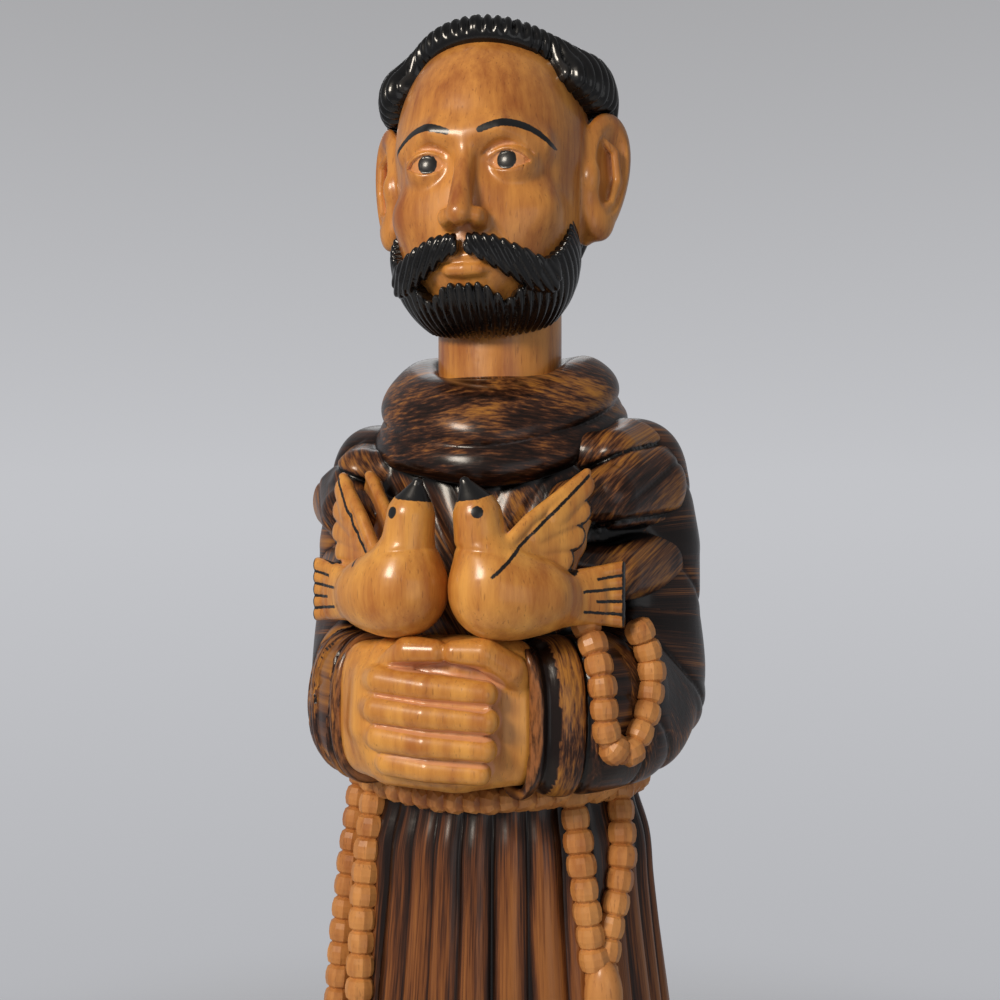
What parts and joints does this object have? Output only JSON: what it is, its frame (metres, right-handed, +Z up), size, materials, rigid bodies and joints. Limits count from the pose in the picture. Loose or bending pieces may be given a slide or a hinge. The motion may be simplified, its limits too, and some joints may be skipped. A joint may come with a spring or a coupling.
{
  "type": "carved saint statue",
  "caption": "Standing friar saint carved in varnished wood: pleated hooded habit, beaded cords, hands folded under a pair of doves, on a low base.",
  "frame": {"origin": "centre of the base's underside", "axes": "+Z up along the figure, the figure faces -Y, +X to its left hand"},
  "size_m": [0.27, 0.25, 0.8084],
  "materials": {
    "carved_figure": "hand carved, part stained near black and part honey coloured, gloss varnish",
    "base_board": "dark stain, gloss varnish"
  },
  "bodies": {
    "root": {"figure": "carved_figure", "base": "base_board"}
  },
  "joints": []
}
